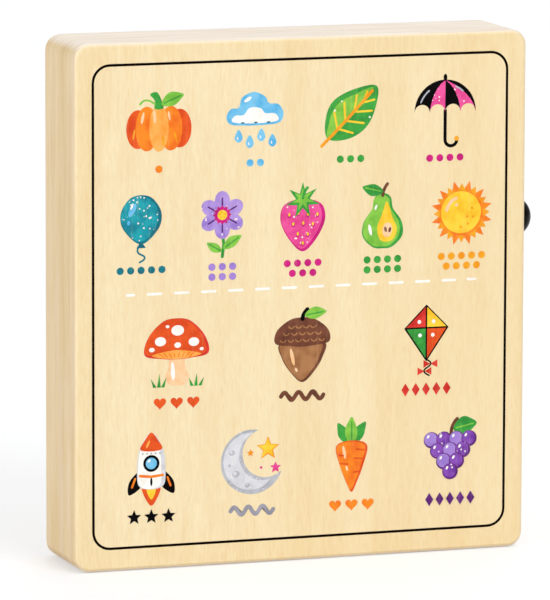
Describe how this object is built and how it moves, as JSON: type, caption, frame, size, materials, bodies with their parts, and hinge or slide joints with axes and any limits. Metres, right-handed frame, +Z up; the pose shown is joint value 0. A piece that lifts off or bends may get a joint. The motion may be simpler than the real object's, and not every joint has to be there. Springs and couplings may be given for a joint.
{
  "type": "busy board",
  "caption": "Upright wooden busy board: printed cover, laminated case, and a play side with lights, toggles, rockers, buttons, a dimmer and a slide switch.",
  "frame": {"origin": "middle of the flat bottom edge that the board stands on, at half its depth", "axes": "+Z up along the board's height; -Y out of the printed cover; +Y out of the play side; +X out of the edge with the power button"},
  "size_m": [0.187, 0.0602, 0.2],
  "materials": {
    "printed_wood": "printed basswood plywood, clear matt coat",
    "case_wood": "sanded basswood, clear matt coat",
    "panel_wood": "printed basswood plywood, clear matt coat",
    "dowel_wood": "fluted beech",
    "zinc_steel": "zinc plated",
    "spring_steel": "drawn wire",
    "nickel": "bright nickel plate",
    "brass": "bare",
    "circuit_green": "solder mask",
    "black_gloss": "gloss",
    "black_matte": "satin",
    "grey_plastic": "satin",
    "white_plastic": "satin",
    "red_plastic": "gloss",
    "blue_plastic": "gloss",
    "green_plastic": "gloss",
    "yellow_plastic": "gloss",
    "battery_can": "printed film",
    "lead_vinyl": "satin",
    "lens_red": "tinted clear",
    "lens_orange": "tinted clear",
    "lens_yellow": "tinted clear",
    "lens_green": "tinted clear",
    "lens_cyan": "tinted clear",
    "lens_blue": "tinted clear",
    "lens_violet": "tinted clear",
    "lens_white": "water clear"
  },
  "bodies": {
    "case": {"printed_cover": "printed_wood", "rear_frame": "case_wood", "front_frame": "case_wood", "play_panel": "panel_wood", "dowel_pins": "dowel_wood", "panel_screws": "zinc_steel", "circuit_board": "circuit_green", "control_chip": "black_matte", "board_spacers": "white_plastic", "board_screws": "zinc_steel", "light_rings": "black_matte", "toggle_nuts": "nickel", "push_nuts": "black_matte", "dimmer": "zinc_steel", "dimmer_nut": "nickel", "slide_switch": "zinc_steel", "slide_screws": "zinc_steel", "power_housing": "black_matte", "power_switch": "grey_plastic", "power_spring": "spring_steel", "power_screws": "zinc_steel", "battery_box": "white_plastic", "battery_1": "battery_can", "battery_2": "battery_can", "battery_springs": "spring_steel", "battery_bridge": "nickel", "battery_hatch": "white_plastic", "hatch_screws": "zinc_steel", "solder_tabs": "brass", "wiring_harness": "lead_vinyl", "battery_leads": "lead_vinyl", "rocker_switch_1": "black_matte", "rocker_switch_2": "black_matte", "push_switch_1": "black_matte", "push_switch_2": "black_matte", "push_spring_1": "spring_steel", "push_spring_2": "spring_steel", "light_1": "lens_red", "light_2": "lens_orange", "light_3": "lens_yellow", "light_4": "lens_green", "light_5": "lens_cyan", "light_6": "lens_blue", "light_7": "lens_violet", "light_8": "lens_white", "toggle_switch_1": "zinc_steel", "toggle_switch_2": "zinc_steel", "toggle_switch_3": "zinc_steel"},
    "toggle_lever_1": {"toggle_lever_1": "nickel"},
    "toggle_lever_2": {"toggle_lever_2": "nickel"},
    "toggle_lever_3": {"toggle_lever_3": "nickel"},
    "rocker_1": {"rocker_1": "red_plastic"},
    "rocker_2": {"rocker_2": "green_plastic"},
    "push_button_1": {"push_button_1": "blue_plastic"},
    "push_button_2": {"push_button_2": "yellow_plastic"},
    "dimmer_knob": {"dimmer_knob": "yellow_plastic", "dimmer_shaft": "nickel"},
    "slide_handle": {"slide_handle": "black_matte"},
    "power_button": {"power_button": "black_gloss"}
  },
  "joints": [
    {"name": "toggle_1", "type": "hinge", "parent": "case", "child": "toggle_lever_1", "pos_m": [0.048, 0.022, 0.13], "axis": [1, 0, 0], "range_deg": [0, 24]},
    {"name": "toggle_2", "type": "hinge", "parent": "case", "child": "toggle_lever_2", "pos_m": [0, 0.022, 0.13], "axis": [1, 0, 0], "range_deg": [0, 24]},
    {"name": "toggle_3", "type": "hinge", "parent": "case", "child": "toggle_lever_3", "pos_m": [-0.048, 0.022, 0.13], "axis": [1, 0, 0], "range_deg": [0, 24]},
    {"name": "rocker_1", "type": "hinge", "parent": "case", "child": "rocker_1", "pos_m": [0.048, 0.0165, 0.085], "axis": [1, 0, 0], "range_deg": [0, 16]},
    {"name": "rocker_2", "type": "hinge", "parent": "case", "child": "rocker_2", "pos_m": [-0.048, 0.0165, 0.085], "axis": [1, 0, 0], "range_deg": [0, 16]},
    {"name": "push_1", "type": "slide", "parent": "case", "child": "push_button_1", "axis": [0, -1, 0], "range_m": [0, 0.003], "stiffness_N_per_m": 300, "springref_m": -0.003, "deforming": ["push_spring_1"]},
    {"name": "push_2", "type": "slide", "parent": "case", "child": "push_button_2", "axis": [0, -1, 0], "range_m": [0, 0.003], "stiffness_N_per_m": 300, "springref_m": -0.003, "deforming": ["push_spring_2"]},
    {"name": "dimmer_turn", "type": "hinge", "parent": "case", "child": "dimmer_knob", "pos_m": [0, 0.0195, 0.085], "axis": [0, -1, 0], "range_deg": [-140, 140]},
    {"name": "slide_travel", "type": "slide", "parent": "case", "child": "slide_handle", "axis": [-1, 0, 0], "range_m": [0, 0.008]},
    {"name": "power_press", "type": "slide", "parent": "case", "child": "power_button", "axis": [-1, 0, 0], "range_m": [0, 0.003], "stiffness_N_per_m": 300, "springref_m": -0.003, "deforming": ["power_spring"]}
  ]
}
